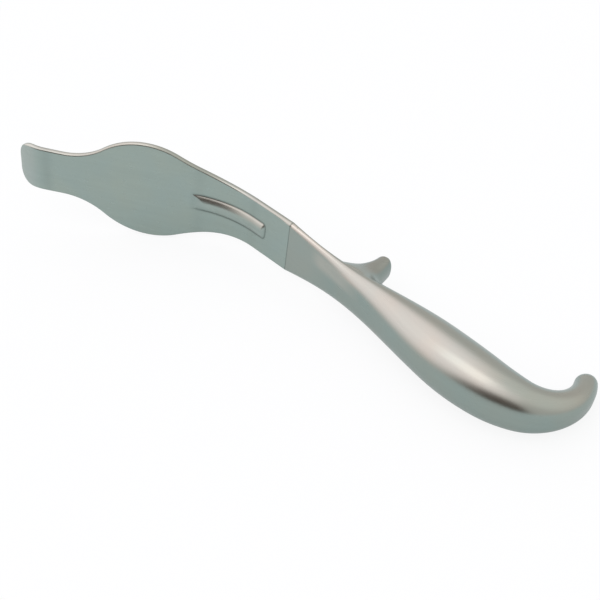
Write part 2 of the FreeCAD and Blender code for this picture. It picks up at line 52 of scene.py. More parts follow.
# What each point keeps: how far it lies along and across its piece in millimetres, 1 where it is on an
# edge, and its painted light and shade, down to -1 where the steel is painted darker and up to 1 where it
# is painted lighter.
grainWords = ("place", "across", "edge", "paintedShadeAndSheen")


# smooth steps and curves

def smoothStep(t):
    t = np.clip(t, 0, 1)
    return t * t * (3 - 2 * t)


def softMax(height, softness):
    # height where it is above zero, with a soft foot
    return (height + np.sqrt(height * height + softness * softness)) / 2


def smoothCurve(places, values, at):
    # natural cubic spline through the values
    x, y, at = np.asarray(places, float), np.asarray(values, float), np.asarray(at, float)
    n, h = len(x), np.diff(x)
    a, b = np.eye(n), np.zeros(n)
    for i in range(1, n - 1):
        a[i, i - 1:i + 2] = h[i - 1], 2 * (h[i - 1] + h[i]), h[i]
        b[i] = 6 * ((y[i + 1] - y[i]) / h[i] - (y[i] - y[i - 1]) / h[i - 1])
    m = np.linalg.solve(a, b)
    i = np.clip(np.searchsorted(x, at) - 1, 0, n - 2)
    l, r = x[i + 1] - at, at - x[i]
    return ((m[i] * l ** 3 + m[i + 1] * r ** 3) / (6 * h[i]) + (y[i] / h[i] - m[i] * h[i] / 6) * l
            + (y[i + 1] / h[i] - m[i + 1] * h[i] / 6) * r)


# meshes

def makeObject(name, points, faces, grain=None):
    mesh = bpy.data.meshes.new(name)
    mesh.from_pydata([tuple(p) for p in points], [], faces)
    # all faces are turned outwards
    outward = bmesh.new()
    outward.from_mesh(mesh)
    bmesh.ops.recalc_face_normals(outward, faces=outward.faces)
    outward.to_mesh(mesh)
    outward.free()
    if grain is not None:
        for word, column in zip(grainWords, np.asarray(grain, np.float32).T):
            attribute = mesh.attributes.new(word, "FLOAT", "POINT")
            attribute.data.foreach_set("value", column.copy())
    mesh.shade_smooth()
    piece = bpy.data.objects.new(name, mesh)
    bpy.context.scene.collection.objects.link(piece)
    return piece


def gridFaces(rows, columns, start=0, wrap=False):
    faces = []
    for i in range(rows - 1):
        for j in range(columns if wrap else columns - 1):
            k = (j + 1) % columns
            a, b = start + i * columns, start + (i + 1) * columns
            faces.append((a + j, b + j, b + k, a + k))
    return faces


def fanFaces(row, wide, hub):
    # closes a row of points round its hub, the first row facing back
    faces = []
    for j in range(wide):
        a, b = row * wide + j, row * wide + (j + 1) % wide
        faces.append((a, b, hub) if row else (b, a, hub))
    return faces


# nodes

def addNode(tree, kind, settings=None, links=None):
    node = tree.nodes.new(kind)
    for name, value in (settings or {}).items():
        if isinstance(name, int) or name in node.inputs:
            node.inputs[name].default_value = value
        else:
            setattr(node, name, value)
    for name, source in (links or {}).items():
        tree.links.new(source, node.inputs[name])
    return node


# bending: each bend turns what lies past its start about its own centre

def bendTree(name, bends, travel):
    # bends come in order from the joint, travel is +1 or -1 along X
    tree = bpy.data.node_groups.new(name, "GeometryNodeTree")
    tree.interface.new_socket("Geometry", in_out="INPUT", socket_type="NodeSocketGeometry")
    sockets = {}
    for bend in bends:
        for word in ("start", "length", "angle"):
            sockets[bend, word] = tree.interface.new_socket(bend + " " + word, in_out="INPUT",
                                                            socket_type="NodeSocketFloat")
    sockets["steel"] = tree.interface.new_socket("steel", in_out="INPUT",
                                                 socket_type="NodeSocketMaterial")
    tree.interface.new_socket("Geometry", in_out="OUTPUT", socket_type="NodeSocketGeometry")
    given = tree.nodes.new("NodeGroupInput")
    place = addNode(tree, "GeometryNodeInputNamedAttribute", {"data_type": "FLOAT", "Name": "place"})
    position = tree.nodes.new("GeometryNodeInputPosition").outputs[0]
    for bend in reversed(list(bends)):
        start, length, angle = (given.outputs[bend + " " + word] for word in ("start", "length", "angle"))
        end = addNode(tree, "ShaderNodeMath", {"operation": "ADD"}, {0: start, 1: length})
        share = addNode(tree, "ShaderNodeMapRange", {},
                        {"Value": place.outputs[0], "From Min": start, "From Max": end.outputs[0]})
        # back to the bend's start by the length that is bent
        back = addNode(tree, "ShaderNodeMath", {"operation": "MULTIPLY"},
                       {0: share.outputs[0], 1: length})
        back = addNode(tree, "ShaderNodeMath", {"operation": "MULTIPLY", 1: travel}, {0: back.outputs[0]})
        back = addNode(tree, "ShaderNodeCombineXYZ", {}, {0: back.outputs[0]})
        moved = addNode(tree, "ShaderNodeVectorMath", {"operation": "SUBTRACT"},
                        {0: position, 1: back.outputs[0]})
        # and round the bend's centre
        radians = addNode(tree, "ShaderNodeMath", {"operation": "RADIANS"}, {0: angle})
        radius = addNode(tree, "ShaderNodeMath", {"operation": "DIVIDE"},
                         {0: length, 1: radians.outputs[0]})
        side = addNode(tree, "ShaderNodeMath", {"operation": "MULTIPLY", 1: travel},
                       {0: radius.outputs[0]})
        foot = addNode(tree, "ShaderNodeMath", {"operation": "MULTIPLY", 1: travel}, {0: start})
        centre = addNode(tree, "ShaderNodeCombineXYZ", {}, {0: foot.outputs[0], 1: side.outputs[0]})
        turned = addNode(tree, "ShaderNodeMath", {"operation": "MULTIPLY"},
                         {0: share.outputs[0], 1: radians.outputs[0]})
        spun = addNode(tree, "ShaderNodeVectorRotate", {"rotation_type": "Z_AXIS"},
                       {"Vector": moved.outputs[0], "Center": centre.outputs[0],
                        "Angle": turned.outputs[0]})
        position = spun.outputs[0]
    shaped = addNode(tree, "GeometryNodeSetPosition", {},
                     {"Geometry": given.outputs["Geometry"], "Position": position})
    real = addNode(tree, "GeometryNodeRealizeInstances", {}, {"Geometry": shaped.outputs[0]})
    done = addNode(tree, "GeometryNodeSetMaterial", {},
                   {"Geometry": real.outputs[0], "Material": given.outputs["steel"]})
    out = tree.nodes.new("NodeGroupOutput")
    tree.links.new(done.outputs[0], out.inputs[0])
    return tree, sockets


def bendPiece(piece, bends, travel, steel):
    tree, sockets = bendTree(piece.name + "Bends", bends, travel)
    modifier = piece.modifiers.new("bends", "NODES")
    modifier.node_group = tree
    for bend, (start, length, angle) in bends.items():
        modifier[sockets[bend, "start"].identifier] = float(start)
        modifier[sockets[bend, "length"].identifier] = float(length)
        modifier[sockets[bend, "angle"].identifier] = float(angle)
    modifier[sockets["steel"].identifier] = steel
    bpy.context.view_layer.update()
    depsgraph = bpy.context.evaluated_depsgraph_get()
    mesh = bpy.data.meshes.new_from_object(piece.evaluated_get(depsgraph))
    piece.modifiers.clear()
    old = piece.data
    piece.data = mesh
    mesh.name = piece.name
    bpy.data.meshes.remove(old)


# steel

def fromHex(text):
    # sRGB hex to linear
    values = [int(text[k:k + 2], 16) / 255 for k in (0, 2, 4)]
    return [v / 12.92 if v <= 0.04045 else ((v + 0.055) / 1.055) ** 2.4 for v in values] + [1.0]


def newMaterial(name):
    material = bpy.data.materials.new(name)
    material.use_nodes = True
    material.node_tree.nodes.clear()
    return material


bladeSteelLook = {
    "colour": "98aba8",
    "warmColour": "a1ada2",    # in soft clouds
    "paintedLightColour": "b9bcb8",  # colour of the painted highlights
    "cloudScale": 70.0,        # clouds to a metre, so each is some 14 mm across
    "roughness": 0.30,
    "strokeLength": 5.0,       # mm, strokes of the fine abrasive belt, coarser than real to show at all
    "strokeWidth": 0.45,
    "strokeShare": 0.10,       # how far the strokes change the roughness
    "strokeDepth": 0.0006,     # mm
    "bandLength": 30.0,        # mm, broad faint bands of the hand finish
    "bandWidth": 2.2,
    "bandShare": 0.02,         # how far the bands change the colour
    "jointLine": (0.10, 0.34),  # mm from the joint, between which its dark line fades
    "jointTone": 0.8,
    "paintedDarkTone": 0.5,           # tone where the steel is painted darkest, at -1
    "bendBands": ((19.5, 3.6, 0.955), (45.5, 4.2, 0.96), (109.6, 4.0, 0.92)),  # place, half width, tone
}
gripSteelLook = {
    # the grip's colours are darker copies of the blade's steel: painted shade, for the darker floor the
    # grip mirrors below it
    "colour": "8ea19d",
    "warmColour": "98a097",
    "paintedLightColour": "b3b4ab",
    "cloudScale": 70.0,
    "roughness": 0.29,
    "strokeLength": 18.0,
    "strokeWidth": 0.40,
    "strokeShare": 0.06,
    "strokeDepth": 0.0003,
    "bandLength": 60.0,
    "bandWidth": 1.4,
    "bandShare": 0.018,
    "jointLine": (0.10, 0.34),
    "jointTone": 0.8,
    "paintedDarkTone": 0.58,
    "bendBands": (),
}


def strokeNoise(tree, length, width):
    # noise drawn out along the piece, from where each point lies along and across it
    place = addNode(tree, "ShaderNodeAttribute", {"attribute_name": "place"})
    across = addNode(tree, "ShaderNodeAttribute", {"attribute_name": "across"})
    along = addNode(tree, "ShaderNodeMath", {"operation": "DIVIDE", 1: length}, {0: place.outputs["Fac"]})
    wide = addNode(tree, "ShaderNodeMath", {"operation": "DIVIDE", 1: width}, {0: across.outputs["Fac"]})
    lie = addNode(tree, "ShaderNodeCombineXYZ", {}, {0: along.outputs[0], 1: wide.outputs[0]})
    return addNode(tree, "ShaderNodeTexNoise", {"Scale": 1.0, "Detail": 2.0, "Roughness": 0.55},
                   {"Vector": lie.outputs[0]})


def spreadNoise(tree, noise, low, high):
    # most of the noise lies between 0.3 and 0.7
    return addNode(tree, "ShaderNodeMapRange",
                   {"From Min": 0.3, "From Max": 0.7, "To Min": low, "To Max": high},
                   {"Value": noise.outputs[0]})


def placeTone(tree, place, look):
    # dark line at the joint, painted shade round the rib's foot and on the rim, the lug painted darker,
    # faint darker bands across the sheet at its bends
    start, end = look["jointLine"]
    tone = addNode(tree, "ShaderNodeMapRange",
                   {"From Min": start, "From Max": end, "To Min": look["jointTone"]}, {"Value": place})
    paintedShadeAndSheen = addNode(tree, "ShaderNodeAttribute", {"attribute_name": "paintedShadeAndSheen"})
    foot = addNode(tree, "ShaderNodeMapRange",
                   {"From Min": -1.0, "From Max": 0.0, "To Min": look["paintedDarkTone"]},
                   {"Value": paintedShadeAndSheen.outputs["Fac"]})
    tone = addNode(tree, "ShaderNodeMath", {"operation": "MULTIPLY"},
                   {0: tone.outputs[0], 1: foot.outputs[0]})
    for middle, half, dark in look["bendBands"]:
        away = addNode(tree, "ShaderNodeMath", {"operation": "SUBTRACT", 1: middle}, {0: place})
        away = addNode(tree, "ShaderNodeMath", {"operation": "ABSOLUTE"}, {0: away.outputs[0]})
        mark = addNode(tree, "ShaderNodeMapRange",
                       {"interpolation_type": "SMOOTHSTEP", "From Max": half, "To Min": dark},
                       {"Value": away.outputs[0]})
        tone = addNode(tree, "ShaderNodeMath", {"operation": "MULTIPLY"},
                       {0: tone.outputs[0], 1: mark.outputs[0]})
    return tone


def makeSteel(name, look):
    # stainless steel, belt ground and then satin polished lengthwise: fine streaks, broad soft highlights
    material = newMaterial(name)
    tree = material.node_tree
    strokes = strokeNoise(tree, look["strokeLength"], look["strokeWidth"])
    # the rim is smooth, without strokes
    edge = addNode(tree, "ShaderNodeAttribute", {"attribute_name": "edge"})
    strokes = addNode(tree, "ShaderNodeMix", {3: 0.5}, {0: edge.outputs["Fac"], 2: strokes.outputs[0]})
    bands = strokeNoise(tree, look["bandLength"], look["bandWidth"])
    spot = addNode(tree, "ShaderNodeTexCoord")
    cloud = addNode(tree, "ShaderNodeTexNoise", {"Scale": look["cloudScale"], "Detail": 3.0},
                    {"Vector": spot.outputs["Object"]})
    tone = addNode(tree, "ShaderNodeMix", {"data_type": "RGBA", "clamp_factor": True},
                   {"Factor": cloud.outputs[0]})
    tone.inputs[6].default_value = fromHex(look["colour"])
    tone.inputs[7].default_value = fromHex(look["warmColour"])
    # painted highlights: the colour is mixed toward the painted light colour where the painted light and
    # shade is above zero
    paintedShadeAndSheen = addNode(tree, "ShaderNodeAttribute", {"attribute_name": "paintedShadeAndSheen"})
    tone = addNode(tree, "ShaderNodeMix", {"data_type": "RGBA", "clamp_factor": True},
                   {"Factor": paintedShadeAndSheen.outputs["Fac"], 6: tone.outputs[2]})
    tone.inputs[7].default_value = fromHex(look["paintedLightColour"])
    lift = spreadNoise(tree, bands, 1 - look["bandShare"], 1 + look["bandShare"])
    place = addNode(tree, "ShaderNodeAttribute", {"attribute_name": "place"})
    lift = addNode(tree, "ShaderNodeMath", {"operation": "MULTIPLY"},
                   {0: lift.outputs[0], 1: placeTone(tree, place.outputs["Fac"], look).outputs[0]})
    worn = addNode(tree, "ShaderNodeVectorMath", {"operation": "SCALE"},
                   {0: tone.outputs[2], "Scale": lift.outputs[0]})
    rough = spreadNoise(tree, strokes, look["roughness"] * (1 - look["strokeShare"]),
                        look["roughness"] * (1 + look["strokeShare"]))
    bump = addNode(tree, "ShaderNodeBump", {"Strength": 0.5, "Distance": look["strokeDepth"] / 1000},
                   {"Height": strokes.outputs[0]})
    surface = addNode(tree, "ShaderNodeBsdfPrincipled", {"Metallic": 1.0},
                      {"Base Color": worn.outputs[0], "Roughness": rough.outputs[0],
                       "Normal": bump.outputs[0]})
    addNode(tree, "ShaderNodeOutputMaterial", {}, {"Surface": surface.outputs[0]})
    return material


bladeSteel = makeSteel("satinGroundStainless", bladeSteelLook)
gripSteel = makeSteel("polishedStainless", gripSteelLook)
print("steel mixed")


# blade: laid flat, cut to its outline with a round rim, its rib pressed, then bent

blade = {
    # places are mm along the flat sheet from the joint
    "length": 122.94,
    "neckHalf": 11.5, "crownHalf": 21.95, "tipHalf": 9.9, "tipSpread": 0.3,
    "straightTo": 12, "neckFlare": 47.4, "widest": 67.2, "crownRadius": 30.5, "tipFlare": 35.8,
    "tipCorner": 7.0,
    "thickness": 2.3, "rimRadius": 0.85,
    "jointThickness": 2.9, "jointRim": 1.35, "swell": 6.0,  # thicker at the joint, over that length
    "leastFlat": 0.02,  # left of the sheet's edge between the rounds of its rim
    "shoulder": 0.22,   # round of both pieces at the joint
    "tongue": 1.5, "tongueInset": 0.42, "tongueFrom": 0.02,
    # painted shade on the rim, and a painted highlight on the upturned tip from that place over that
    # length
    "rimShade": -0.28, "tipSheen": 0.28, "tipSheenFrom": 112, "tipSheenOver": 5,
    # rows and columns of the mesh: close at the rib, wider on the leaf
    "shoulderAngles": (0, 20, 40, 60, 80, 90),
    "rowSpans": ((0.6, 12.2, 0.6), (12.3, 15.4, 0.13), (15.6, 50, 0.33)),  # from, to, step
    "leafFrom": 50.2, "leafRows": 74, "cornerStep": 9,
    "innerHalf": 5.4, "innerShare": 0.55, "innerColumns": 39, "outerColumns": 11, "rimSteps": 7,
}
rib = {
    "start": 12.6, "endRound": 1.7, "cornerPower": 3,  # its blunt end
    "half": 3.3, "height": 1.12, "flankPower": 1.35,
    "edgeStep": 0.27, "edgePower": 14, "soft": 0.10,   # its crisp foot
    "fadeFrom": 42.5, "fadeTo": 50.0,                  # where it runs out into the leaf
    "crestDrop": 0.1, "crestSoft": 0.22, "runOut": 0.4, "runOutLead": 1,
    "grooveHalf": 2.2, "grooveDepth": 1.1, "grooveSoft": 0.3, "grooveInset": 1,
    "crestSheen": 0.10, "sheenRise": 0.6,            # painted highlight on its crest, and over what rise it comes
    # painted shade: a dark line in the colour round the rib's foot, in its crease
    "shadeLineAt": -0.5, "shadeLineReach": 0.65,                 # dark line round it, where the form is that low
}
bladeBends = {
    # start and length along the sheet in mm, angle in degrees
    "neck": (-1e-3, 1e-3, -12.9),
    "bend": (18.7, 26.83, 32.5),
    "hook": (110.7, 12.29, -40.7),
}


def bladeHalf(s):
    # half width: straight neck, flare, crown, flare, straight tip
    b = blade
    half = np.full_like(s, b["neckHalf"])
    for sign, length, end in ((-1, b["neckFlare"], b["neckHalf"]), (1, b["tipFlare"], b["tipHalf"])):
        drop = b["crownHalf"] - end
        radius = (length ** 2 + drop ** 2) / (2 * drop) - b["crownRadius"]
        share = b["crownRadius"] / (b["crownRadius"] + radius)
        along = (s - b["widest"]) * sign
        fall = np.sqrt(np.maximum(b["crownRadius"] ** 2 - along ** 2, 0))
        crown = b["crownHalf"] - b["crownRadius"] + fall
        climb = np.sqrt(np.maximum(radius ** 2 - np.minimum(length - along, radius) ** 2, 0))
        hollow = end + radius - climb
        piece = np.where(along < length * share, crown, hollow)
        piece = np.where(along > length, end, piece)
        half = np.where(along >= 0, piece, half)
    past = np.clip((s - b["widest"] - b["tipFlare"]) / (b["length"] - b["widest"] - b["tipFlare"]), 0, 1)
    return half + b["tipSpread"] * past ** 2


def ribLeft(s):
    # 1 along the rib, 0 where it has run out into the leaf
    return 1 - smoothStep((s - rib["fadeFrom"]) / (rib["fadeTo"] - rib["fadeFrom"]))


def pressedForm(s, w, half, height, start):
    # low ridge with nearly straight flanks and a crisp foot, blunt at its end, below zero beside it
    r = rib
    past = np.maximum(start + r["endRound"] - s, 0) * half / r["endRound"]
    share = (np.abs(w) ** r["cornerPower"] + past ** r["cornerPower"]) ** (1 / r["cornerPower"]) / half
    inside = np.minimum(share, 1)
    form = height * (1 - inside ** r["flankPower"]) + r["edgeStep"] * (1 - inside ** r["edgePower"])
    form -= np.maximum(share - 1, 0) * (height * r["flankPower"] + r["edgeStep"] * r["edgePower"])
    crest = (height + r["edgeStep"]) * ribLeft(s) - r["crestDrop"]
    crest -= r["runOut"] * np.maximum(s - r["fadeTo"] + r["runOutLead"], 0)
    return form - softMax(form - crest, r["crestSoft"])


def grooveDepth(s, w):
    # the same form on the back, narrower by the sheet's thickness
    form = pressedForm(s, w, rib["grooveHalf"], rib["grooveDepth"], rib["start"] + rib["grooveInset"])
    return softMax(form, rib["grooveSoft"])


def bladeStations(corner):
    # where the mesh has its rows along the sheet
    b = blade
    lip = b["shoulder"] * (1 - np.sin(np.radians(b["shoulderAngles"])))[::-1]
    spans = [np.arange(*span) for span in b["rowSpans"]]
    leaf = np.linspace(b["leafFrom"], corner, b["leafRows"])
    angles = np.arange(b["cornerStep"], 90 + 1, b["cornerStep"])
    tip = corner + b["tipCorner"] * np.sin(np.radians(angles))
    s = np.concatenate([[-b["tongue"], -b["tongueFrom"]], lip, *spans, leaf, tip])
    return np.unique(np.round(s, 5))


def makeBlade():
    b = blade
    corner = b["length"] - b["tipCorner"]
    s = bladeStations(corner)
    half = bladeHalf(s)
    # outward direction of the edge, in the plane of the sheet
    slope = np.gradient(half, s)
    slope[s < b["straightTo"]] = 0
    normal = np.stack([-slope, np.ones_like(s)], 1)
    normal /= np.linalg.norm(normal, axis=1)[:, None]
    turn = np.arcsin(np.clip((s - corner) / b["tipCorner"], 0, 1))
    atCorner = s > corner + 1e-6
    half = np.where(atCorner, half - b["tipCorner"] * (1 - np.cos(turn)), half)
    normal[atCorner] = np.stack([np.sin(turn), np.cos(turn)], 1)[atCorner]
    # thickness and rim, drawn in at the rounded shoulder and on the tongue
    shoulder = b["shoulder"]
    near = 1 - smoothStep((s - shoulder) / b["swell"])
    thick = (b["thickness"] + (b["jointThickness"] - b["thickness"]) * near) / 2
    rim = b["rimRadius"] + (b["jointRim"] - b["rimRadius"]) * near
    sunk = shoulder - np.sqrt(np.maximum(shoulder ** 2 - (shoulder - s) ** 2, 0))
    inset = np.where(s < shoulder, sunk, 0)
    inset[s < 0] = b["tongueInset"]
    half, thick = half - inset, thick - inset
    rim = np.minimum(rim, thick - b["leastFlat"])

    # both faces, with the rib on the front and its groove on the back
    rows = s - rim * normal[:, 0]
    edge = half - rim * normal[:, 1]
    inner = np.minimum(b["innerHalf"], b["innerShare"] * edge)
    outerShare = np.linspace(0, 1, b["outerColumns"])
    innerShare = np.linspace(-1, 1, b["innerColumns"])
    columns = []
    for i in range(len(s)):
        right = inner[i] + (edge[i] - inner[i]) * outerShare
        columns.append(np.concatenate([-right[::-1], innerShare[1:-1] * inner[i], right]))
    w = np.array(columns)
    count, wide = w.shape
    along = np.repeat(rows[:, None], wide, 1)
    rise = pressedForm(along, w, rib["half"], rib["height"], rib["start"])
    front = -thick[:, None] - softMax(rise, rib["soft"])
    back = thick[:, None] - grooveDepth(along, w)
    points = [np.stack([along, face, w], 2).reshape(-1, 3) for face in (front, back)]
    faces = [tuple(reversed(f)) for f in gridFaces(count, wide)] + gridFaces(count, wide, count * wide)
    total = 2 * count * wide

    # rim: from the front face's edge round to the back face's, along one side, the tip and the other side
    stations = [(i, wide - 1, normal[i, 0], normal[i, 1]) for i in range(count)]
    stations += [(count - 1, j, 1.0, 0.0) for j in range(wide - 2, 0, -1)]
    stations += [(i, 0, normal[i, 0], -normal[i, 1]) for i in range(count - 1, -1, -1)]
    arc = np.radians(np.linspace(90, 0, b["rimSteps"]))
    strips, rimPoints = [], []
    for i, j, alongNormal, acrossNormal in stations:
        own = [i * wide + j]
        flat = thick[i] - rim[i]
        for side, angles in ((1, arc[1:]), (-1, arc[::-1][:-1])):
            for angle in angles:
                reach = rim[i] * math.cos(angle)
                depth = -side * (flat + rim[i] * math.sin(angle))
                rimPoints.append((rows[i] + reach * alongNormal, depth, w[i, j] + reach * acrossNormal))
                own.append(total + len(rimPoints) - 1)
        own.append(count * wide + i * wide + j)
        strips.append(own)
    for one, other in zip(strips, strips[1:]):
        faces += [(one[k], other[k], other[k + 1], one[k + 1]) for k in range(len(one) - 1)]
    # end of the tongue
    faces += [(j, j + 1, count * wide + j + 1, count * wide + j) for j in range(wide - 1)]
    faces += [tuple(reversed(strips[0])), tuple(strips[-1])]
    points = np.concatenate(points + [np.array(rimPoints)])

    # painted light and shade: painted shade round the rib's foot and on the rim, painted highlights on
    # the rib's crest and on the upturned tip
    paintedShadeAndSheen = np.zeros(len(points))
    sheen = rib["crestSheen"] * smoothStep(rise / rib["sheenRise"])
    # painted shade in the crease round the rib's foot
    foot = np.exp(-((rise - rib["shadeLineAt"]) / rib["shadeLineReach"]) ** 2)
    paintedShadeAndSheen[:count * wide] = ((sheen - foot) * ribLeft(along)).ravel()
    paintedShadeAndSheen[total:] = b["rimShade"]
    paintedShadeAndSheen += b["tipSheen"] * smoothStep((points[:, 0] - b["tipSheenFrom"]) / b["tipSheenOver"])
    grain = np.stack([points[:, 0], points[:, 2], np.arange(len(points)) >= total, paintedShadeAndSheen], 1)
    points[:, 0] *= -1
    return makeObject("blade_sheet", points, faces, grain)


bladePiece = makeBlade()
bendPiece(bladePiece, bladeBends, -1, bladeSteel)
print("blade bent,", len(bladePiece.data.polygons), "faces")


# grip: a straight tapered tube, then bent, and the lug joined to its back

grip = {
    # places are mm along the straight tube from the joint; width, depth and flat front of the oval there
    "places": (0, 14, 28, 45, 65, 84, 104, 124, 139.8),
    "widths": (23.0, 19.2, 17.3, 18.4, 20.95, 22.72, 20.5, 13.9, 10.2),
    "depths": (2.9, 3.2, 6.0, 11.8, 19.1, 21.1, 17.25, 11.0, 8.1),
    "flats": (20.2, 13.6, 8.2, 4.6, 1.8, 2.0, 3.2, 3.0, 2.4),
    "dome": 4.7, "domeStep": 6,  # its round end, in degrees
    "spacing": 0.7, "capSteps": 30, "flatSteps": 14,
    "mouth": ((3.0, 0.38), (0.1, 0.38), (0.0, 0.36)),  # place and inset of its inner wall
    "mouthFlat": 0.3, "lipAngles": (90, 70, 50, 30, 10),
    # painted light and shade: the neck painted paler than the rest of the grip, and a warm painted
    # highlight strip below the upper edge of its front
    "pale": 0.24, "paleFrom": 8, "paleOver": 20,
    "strip": 0.65, "stripFrom": 11, "stripIn": 7, "stripTo": 27, "stripOut": 14,
    "stripTop": 1.6, "stripTopOver": 1.6, "stripFoot": 9.6, "stripFootOver": 3.4,
}
gripBends = {
    "stem": (-1e-3, 1e-3, -12.9),
    "palm": (36.0, 40.0, -5.6),
    "belly": (76.0, 20.0, 7.0),
    "heel": (96.0, 12.0, 14.0),
    "curl": (107.9, 40.0, 125.0),
}
lug = {
    "height": 17.15, "half": 5.3, "baseHalf": 8.9, "baseFlare": 3.7,
    "front": 32.0, "rampReach": 11.7, "rampPower": 1.85,
    "rear": 38.6, "rearFlare": 3.4, "rearPower": 8,
    "endRound": 2.2, "edgeRound": 2.0, "squareness": 0.85,
    "footHeight": 7,     # up to there it follows the grip's back
    "sunk": 0.3,         # how deep its foot reaches into the grip
    "footLevel": -0.05,
    "sideShare": 0.975,  # of the grip's width, which its foot doesn't pass
    "bodyShare": 0.88, "bodyLevels": 64, "bodyPower": 1.4, "tipLevels": 18, "tipAngles": (6, 88),
    "angleStep": 4,
    # the lug painted darker above its foot
    "paintedShadeAndSheen": -0.35,
}


def gripSection(s):
    half = smoothCurve(grip["places"], grip["widths"], s) / 2
    rise = smoothCurve(grip["places"], grip["depths"], s) / 2
    flat = smoothCurve(grip["places"], grip["flats"], s) / 2
    return half, rise, flat


def ovalRing(half, rise, flat):
    # points round the section as depth and width: upper cap, front, lower cap, back
    t = np.radians(np.linspace(-90, 90, grip["capSteps"] + 1))
    cap = half - flat
    upper = [(-rise * math.sin(a), flat + cap * math.cos(a)) for a in -t]
    lower = [(-y, -z) for y, z in upper]
    steps = grip["flatSteps"]
    front = [(upper[-1][0], flat - 2 * flat * k / steps) for k in range(1, steps)]
    back = [(-y, -z) for y, z in front]
    return np.array(upper + front + lower + back)


def gripStations():
    # place, half width, half depth and half flat of each ring
    g = grip
    last = g["places"][-1]
    half, rise, flat = (value[0] for value in gripSection(np.array([0.0])))
    # inner wall of the mouth and its rounded lip
    insets = list(g["mouth"])
    shoulder = blade["shoulder"]
    for angle in g["lipAngles"]:
        turn = math.radians(angle)
        insets.append((shoulder * (1 - math.sin(turn)), shoulder * (1 - math.cos(turn))))
    stations = [(s, half - inset, rise - inset, flat - inset * g["mouthFlat"]) for s, inset in insets]
    places = np.linspace(shoulder, last, int((last - shoulder) / g["spacing"]))
    stations += list(zip(places, *gripSection(places)))
    # round end
    half, rise, flat = (value[0] for value in gripSection(np.array([float(last)])))
    for angle in range(g["domeStep"], 90, g["domeStep"]):
        shrink = math.cos(math.radians(angle))
        stations.append((last + g["dome"] * math.sin(math.radians(angle)),
                         half * shrink, rise * shrink, flat * shrink))
    return stations


def makeGrip():
    g = grip
    stations = gripStations()
    points, grain = [], []
    for s, half, rise, flat in stations:
        ring = ovalRing(half, rise, flat)
        girth = np.concatenate([[0], np.cumsum(np.linalg.norm(np.diff(ring, axis=0), axis=1))])
        girth = np.minimum(girth, girth[-1] - girth)
        # painted highlight strip on the front, and the neck painted paler
        strip = g["strip"] * smoothStep((s - g["stripFrom"]) / g["stripIn"])
        strip *= 1 - smoothStep((s - g["stripTo"]) / g["stripOut"])
        pale = g["pale"] * (1 - smoothStep((s - g["paleFrom"]) / g["paleOver"]))
        for (y, z), around in zip(ring, girth):
            top = smoothStep((half - z - g["stripTop"]) / g["stripTopOver"])
            foot = smoothStep((g["stripFoot"] - half + z) / g["stripFootOver"])
            points.append((s, y, z))
            grain.append((s, around, 0, strip * foot * top * (y < 0) + pale))
    wide = len(ring)
    faces = [tuple(reversed(face)) for face in gridFaces(len(stations), wide, 0, True)]
    # both ends are closed with a fan
    for row, s in ((0, stations[0][0]), (len(stations) - 1, g["places"][-1] + g["dome"])):
        points.append((s, 0, 0))
        grain.append((s, 0, 0, 0))
        faces += fanFaces(row, wide, len(points) - 1)
    return makeObject("grip", np.array(points), faces, np.array(grain))


def backHeight(x, z):
    # height of the grip's back over the level of the joint, where the grip is nearly straight
    slant = math.radians(-gripBends["stem"][2])
    sideLimit = 0.98  # of the cap, past which the back falls too steeply
    s = x / math.cos(slant)
    for _ in range(4):  # each round comes nearer to the section that lies under x
        half, rise, flat = gripSection(s)
        side = np.clip((np.abs(z) - flat) / (half - flat), 0, sideLimit)
        lift = rise * np.sqrt(1 - side ** 2)
        s = (x - lift * math.sin(slant)) / math.cos(slant)
    return -s * math.sin(slant) + lift * math.cos(slant)


def tipRound(rise, radius):
    # how far a rounded edge of that radius has drawn in at that height
    past = np.clip((rise - lug["height"] + radius) / radius, 0, 1)
    return radius * (1 - math.sqrt(max(0, 1 - past ** 2)))


def makeLug():
    # finger rest drawn up out of the grip's back: a ramp on the blade's side, a steep rear, a blunt tip
    l = lug
    slant = math.cos(math.radians(-gripBends["stem"][2]))
    root = float(backHeight(np.array([l["rear"]]), np.array([0.0]))[0])
    body = np.linspace(0, 1, l["bodyLevels"]) ** l["bodyPower"] * l["bodyShare"]
    tipAngles = np.radians(np.linspace(*l["tipAngles"], l["tipLevels"]))
    tip = l["bodyShare"] + (1 - l["bodyShare"]) * np.sin(tipAngles)
    levels = np.concatenate([[l["footLevel"]], body, tip])
    around = np.radians(np.arange(0, 360, l["angleStep"]))
    cos, sin = np.cos(around), np.sin(around)
    points, grain = [], []
    for level in levels:
        left = min(1, 1 - level)
        rise = max(level, 0) * l["height"]
        front = l["front"] - l["rampReach"] * left ** l["rampPower"] + tipRound(rise, l["endRound"])
        rear = l["rear"] + l["rearFlare"] * left ** l["rearPower"] - tipRound(rise, l["endRound"])
        half = l["half"] + (l["baseHalf"] - l["half"]) * left ** l["baseFlare"]
        half -= tipRound(rise, l["edgeRound"])
        x = (front + rear) / 2 + (rear - front) / 2 * np.sign(cos) * np.abs(cos) ** l["squareness"]
        z = half * np.sign(sin) * np.abs(sin) ** l["squareness"]
        side = l["sideShare"] * gripSection(x / slant)[0]
        z = np.clip(z, -side, side)
        share = float(smoothStep(rise / l["footHeight"]))
        y = (backHeight(x, z) - (l["sunk"] if level < 0 else 0)) * (1 - share) + root * share + rise
        for k in range(len(around)):
            points.append((x[k], y[k], z[k]))
            grain.append((x[k], rise + 2 * z[k], 0, l["paintedShadeAndSheen"] * share))
    wide = len(around)
    faces = gridFaces(len(levels), wide, 0, True)
    # foot and tip are closed with a fan
    for row in (0, len(levels) - 1):
        middle = np.mean(points[row * wide:(row + 1) * wide], axis=0)
        points.append(tuple(middle))
        grain.append((middle[0], 0, 0, l["paintedShadeAndSheen"]))
        faces += fanFaces(row, wide, len(points) - 1)
    return makeObject("lug", np.array(points), faces, np.array(grain))


